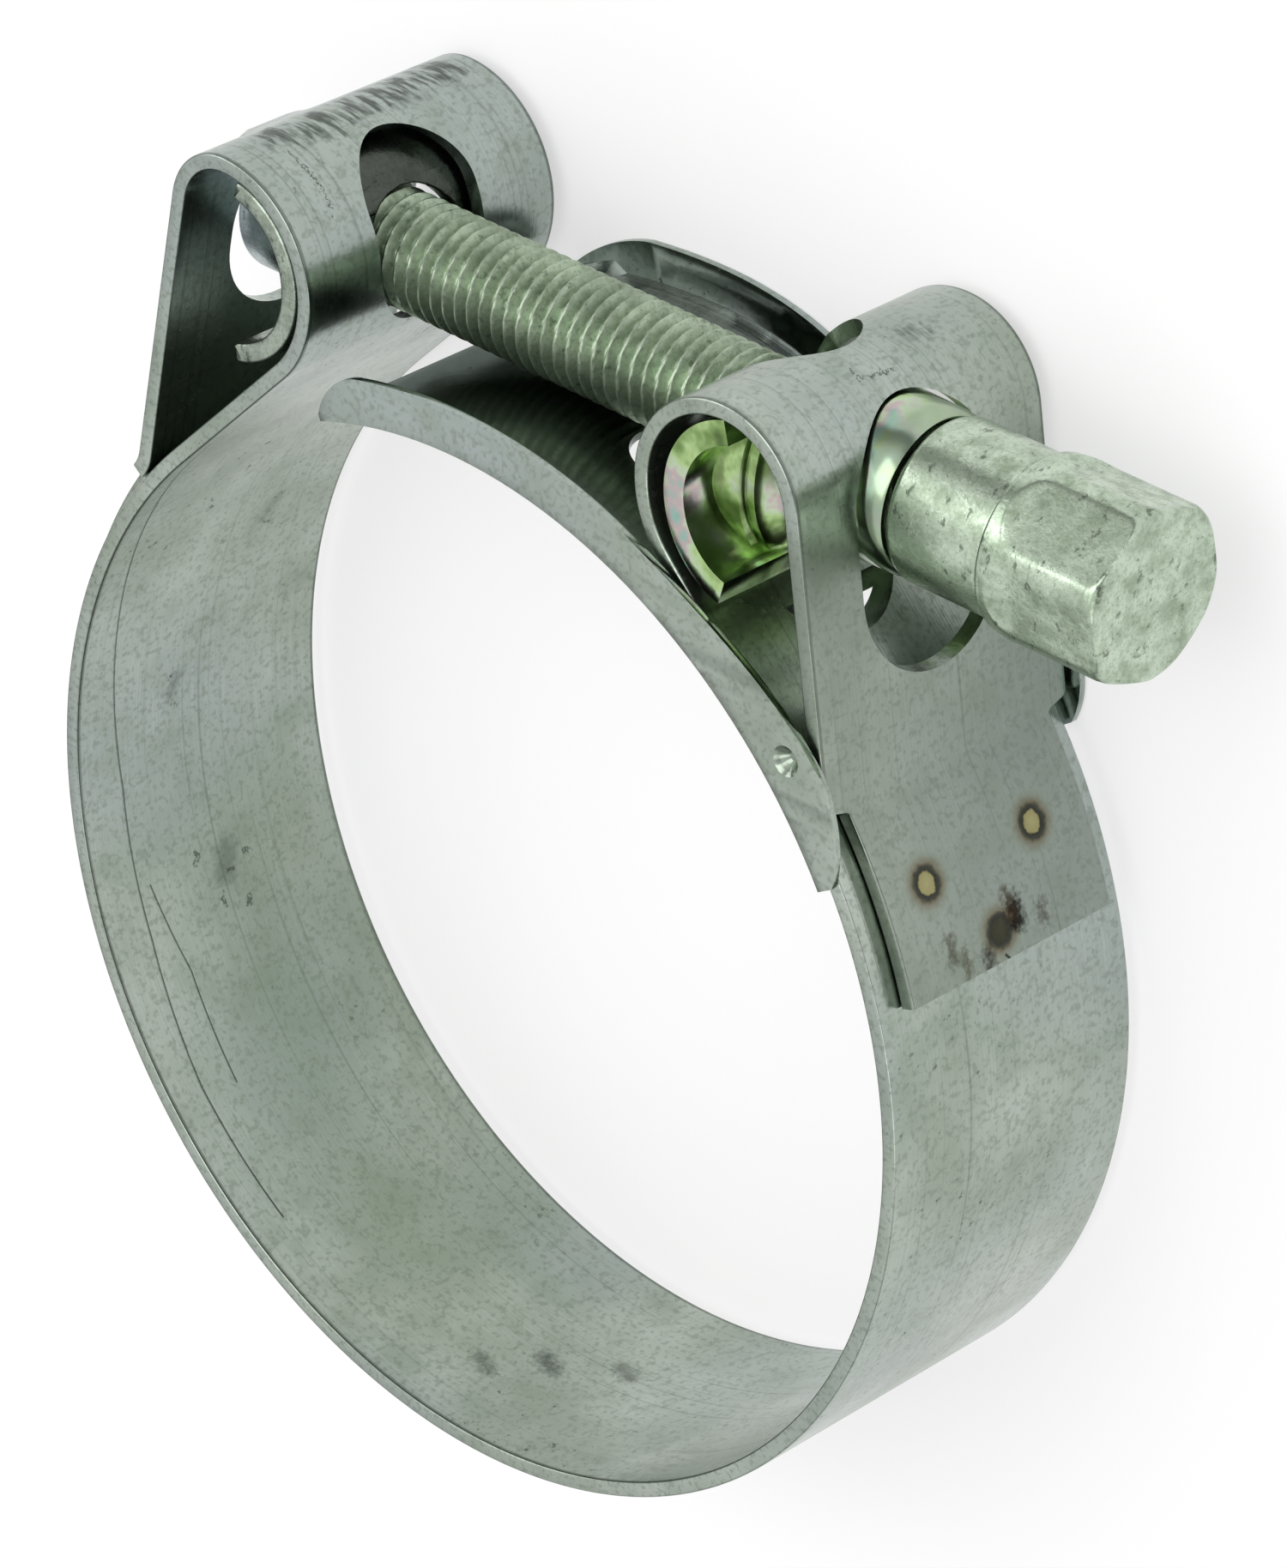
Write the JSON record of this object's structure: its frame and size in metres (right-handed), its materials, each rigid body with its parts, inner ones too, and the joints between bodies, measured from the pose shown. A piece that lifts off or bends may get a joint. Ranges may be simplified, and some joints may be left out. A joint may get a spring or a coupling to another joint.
{
  "type": "heavy-duty hose clamp",
  "caption": "Wide steel band bent to a ring with looped ends, drawn together by a hex bolt, a round nut and two bent saddles, with a channel bridging the gap.",
  "frame": {"origin": "centre of the ring, half way along its width", "axes": "+Z is the axis of the ring; the bolt lies along X above the ring's +Y side with its head toward +X"},
  "size_m": [0.077, 0.0794, 0.0218],
  "materials": {
    "band": "bright rolled strip, worn",
    "bridge": "bright thin strip",
    "head_trunnion": "yellow-green passivated plating",
    "bolt": "mottled zinc plating",
    "nut_saddle": "pale zinc plating",
    "nut": "bluish zinc plating"
  },
  "bodies": {
    "clamp": {"band": "band", "bridge": "bridge", "head_trunnion": "head_trunnion"},
    "bolt": {"bolt": "bolt"},
    "nut_carrier": {"nut_saddle": "nut_saddle", "nut": "nut"}
  },
  "joints": [
    {"name": "bolt_turn", "type": "hinge", "parent": "clamp", "child": "bolt", "pos_m": [0, 0.03755, 0], "axis": [1, 0, 0], "range_deg": [0, 720]},
    {"name": "nut_travel", "type": "slide", "parent": "clamp", "child": "nut_carrier", "axis": [1, 0, 0], "range_m": [-0.002, 0]}
  ],
  "couplings": [
    {"joint": "nut_travel", "follows": "bolt_turn", "m_per_rad": -0.00015915}
  ]
}
